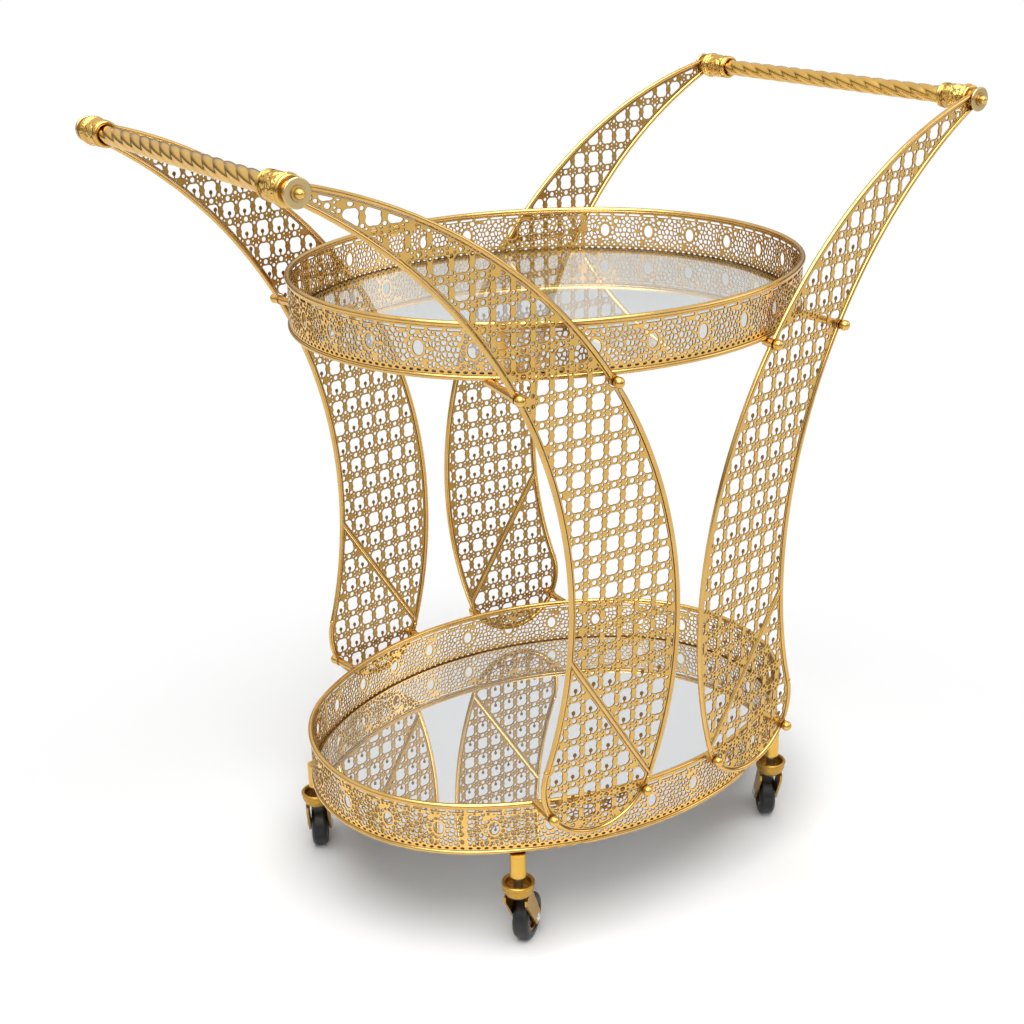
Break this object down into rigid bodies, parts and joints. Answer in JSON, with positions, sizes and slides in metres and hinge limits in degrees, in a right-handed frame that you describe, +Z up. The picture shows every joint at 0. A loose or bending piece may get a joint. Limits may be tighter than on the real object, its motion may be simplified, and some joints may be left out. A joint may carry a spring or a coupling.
{
  "type": "bar cart",
  "caption": "Oval tiered serving cart with pierced tray galleries, pierced side panels, rope-twist handle bars and swivel casters.",
  "frame": {"origin": "on the floor under the middle of the cart", "axes": "+X along the cart, from one handle to the other; +Y across it; +Z up"},
  "size_m": [0.819, 0.4888, 0.8385],
  "materials": {
    "polished_gold": "polished gold plate",
    "gold_filigree": "gold plate, darkened in the openings",
    "caster_gold": "satin gold plate",
    "clear_glass": "clear",
    "mirror_glass": "mirror",
    "bright_steel": "bright zinc",
    "black_tyre": "matte"
  },
  "bodies": {
    "frame": {"upper_gallery": "gold_filigree", "lower_gallery": "gold_filigree", "sheet_fl": "gold_filigree", "sheet_fr": "gold_filigree", "sheet_bl": "gold_filigree", "sheet_br": "gold_filigree", "upper_base": "polished_gold", "lower_base": "polished_gold", "upper_rim": "polished_gold", "lower_rim": "polished_gold", "upper_pane": "clear_glass", "lower_pane": "mirror_glass", "frame_fl": "gold_filigree", "frame_fr": "gold_filigree", "frame_bl": "gold_filigree", "frame_br": "gold_filigree", "rope_left": "polished_gold", "rope_right": "polished_gold", "collars_left": "polished_gold", "collars_right": "polished_gold", "discs": "polished_gold", "acorn_screws": "polished_gold", "upper_bolts": "polished_gold", "lower_bolts": "polished_gold", "sleeves": "polished_gold", "stem_fl": "bright_steel", "stem_fr": "bright_steel", "stem_bl": "bright_steel", "stem_br": "bright_steel"},
    "swivel_fl": {"fork_fl": "caster_gold", "axle_fl": "bright_steel"},
    "wheel_fl": {"hub_fl": "caster_gold", "tyre_fl": "black_tyre"},
    "swivel_fr": {"fork_fr": "caster_gold", "axle_fr": "bright_steel"},
    "wheel_fr": {"hub_fr": "caster_gold", "tyre_fr": "black_tyre"},
    "swivel_bl": {"fork_bl": "caster_gold", "axle_bl": "bright_steel"},
    "wheel_bl": {"hub_bl": "caster_gold", "tyre_bl": "black_tyre"},
    "swivel_br": {"fork_br": "caster_gold", "axle_br": "bright_steel"},
    "wheel_br": {"hub_br": "caster_gold", "tyre_br": "black_tyre"}
  },
  "joints": [
    {"name": "swivel_fl", "type": "hinge", "parent": "frame", "child": "swivel_fl", "pos_m": [-0.17082, -0.17262, 0.0685], "axis": [0, 0, 1], "continuous": true},
    {"name": "swivel_fr", "type": "hinge", "parent": "frame", "child": "swivel_fr", "pos_m": [0.20534, -0.15126, 0.0685], "axis": [0, 0, 1], "continuous": true},
    {"name": "swivel_bl", "type": "hinge", "parent": "frame", "child": "swivel_bl", "pos_m": [-0.25253, 0.10609, 0.0685], "axis": [0, 0, 1], "continuous": true},
    {"name": "swivel_br", "type": "hinge", "parent": "frame", "child": "swivel_br", "pos_m": [0.17082, 0.17262, 0.0685], "axis": [0, 0, 1], "continuous": true},
    {"name": "spin_fl", "type": "hinge", "parent": "swivel_fl", "child": "wheel_fl", "pos_m": [-0.15034, -0.15828, 0.025], "axis": [-0.5736, 0.8192, 0], "continuous": true},
    {"name": "spin_fr", "type": "hinge", "parent": "swivel_fr", "child": "wheel_fr", "pos_m": [0.21968, -0.13078, 0.025], "axis": [-0.8192, 0.5736, 0], "continuous": true},
    {"name": "spin_bl", "type": "hinge", "parent": "swivel_bl", "child": "wheel_bl", "pos_m": [-0.24003, 0.12775, 0.025], "axis": [-0.866, 0.5, 0], "continuous": true},
    {"name": "spin_br", "type": "hinge", "parent": "swivel_br", "child": "wheel_br", "pos_m": [0.1885, 0.19029, 0.025], "axis": [-0.7071, 0.7071, 0], "continuous": true}
  ]
}
